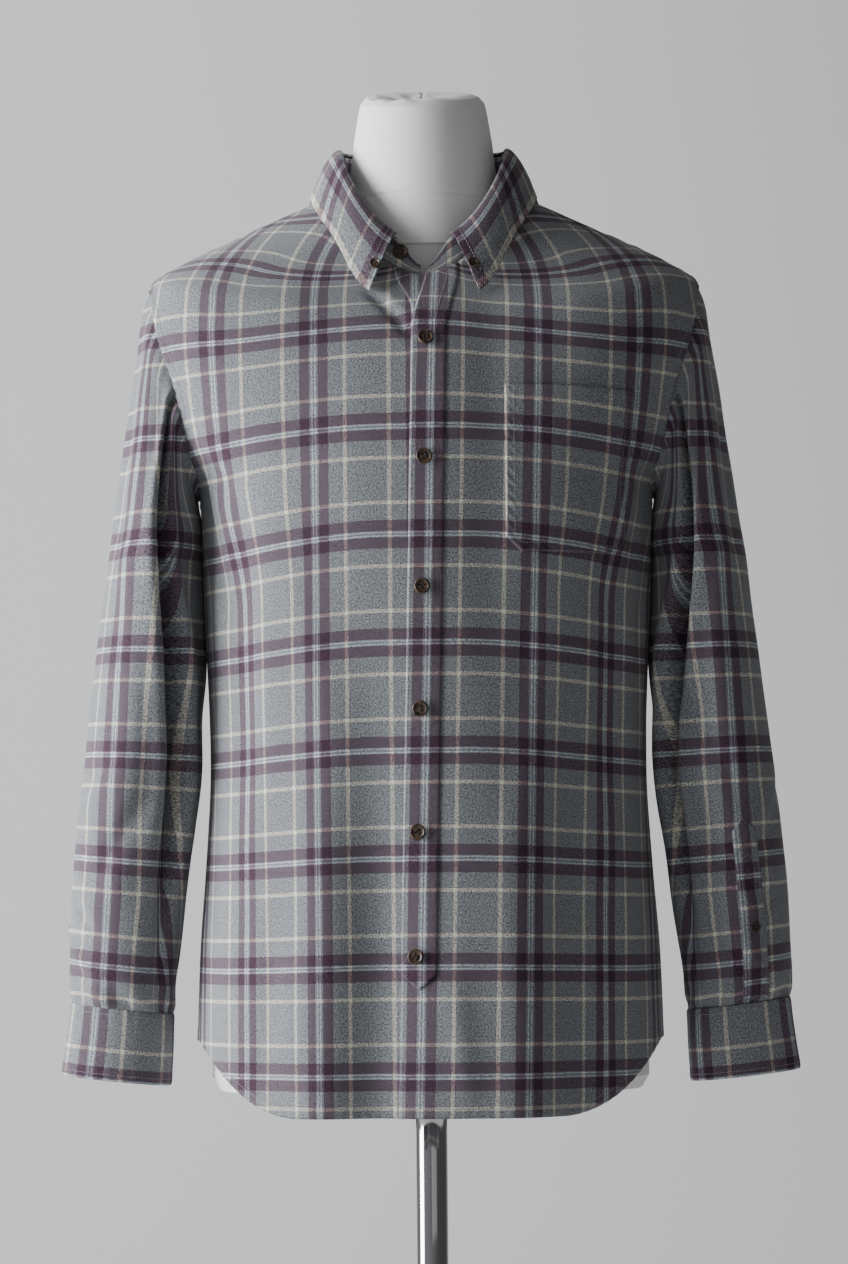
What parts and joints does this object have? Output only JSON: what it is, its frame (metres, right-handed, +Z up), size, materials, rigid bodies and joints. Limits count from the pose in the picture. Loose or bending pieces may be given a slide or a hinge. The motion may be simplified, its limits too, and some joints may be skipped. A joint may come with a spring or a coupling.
{
  "type": "flannel shirt on a limbless dress form stand",
  "caption": "Long-sleeved check flannel shirt with a button-down collar and a chest pocket, worn by a limbless dress form on a chrome pole and round base.",
  "frame": {"origin": "on the floor, under the middle of the base", "axes": "+Z up along the pole; the shirt's front faces -Y; +X is the wearer's left"},
  "size_m": [0.6008, 0.32, 1.4617],
  "materials": {
    "flannel": "brushed cotton check in heather grey, plum and cream",
    "horn": "mottled dark horn, polished",
    "form_cover": "smooth white jersey stretched over a hard form",
    "chrome": "polished chrome plate"
  },
  "bodies": {
    "root": {"front_left": "flannel", "front_right": "flannel", "back": "flannel", "yoke": "flannel", "front_placket": "flannel", "button_band": "flannel", "pocket": "flannel", "sleeve_left": "flannel", "sleeve_right": "flannel", "sleeve_placket_left": "flannel", "sleeve_placket_right": "flannel", "cuff_left": "flannel", "cuff_right": "flannel", "collar_stand": "flannel", "collar_leaf": "flannel", "front_button_1": "horn", "front_button_2": "horn", "front_button_3": "horn", "front_button_4": "horn", "front_button_5": "horn", "front_button_6": "horn", "stand_button": "horn", "collar_button_left": "horn", "collar_button_right": "horn", "sleeve_button_left": "horn", "sleeve_button_right": "horn", "cuff_button_left": "horn", "cuff_button_right": "horn", "form_torso": "form_cover", "form_neck": "form_cover", "pole": "chrome", "pole_ring": "chrome", "base": "chrome"}
  },
  "joints": []
}
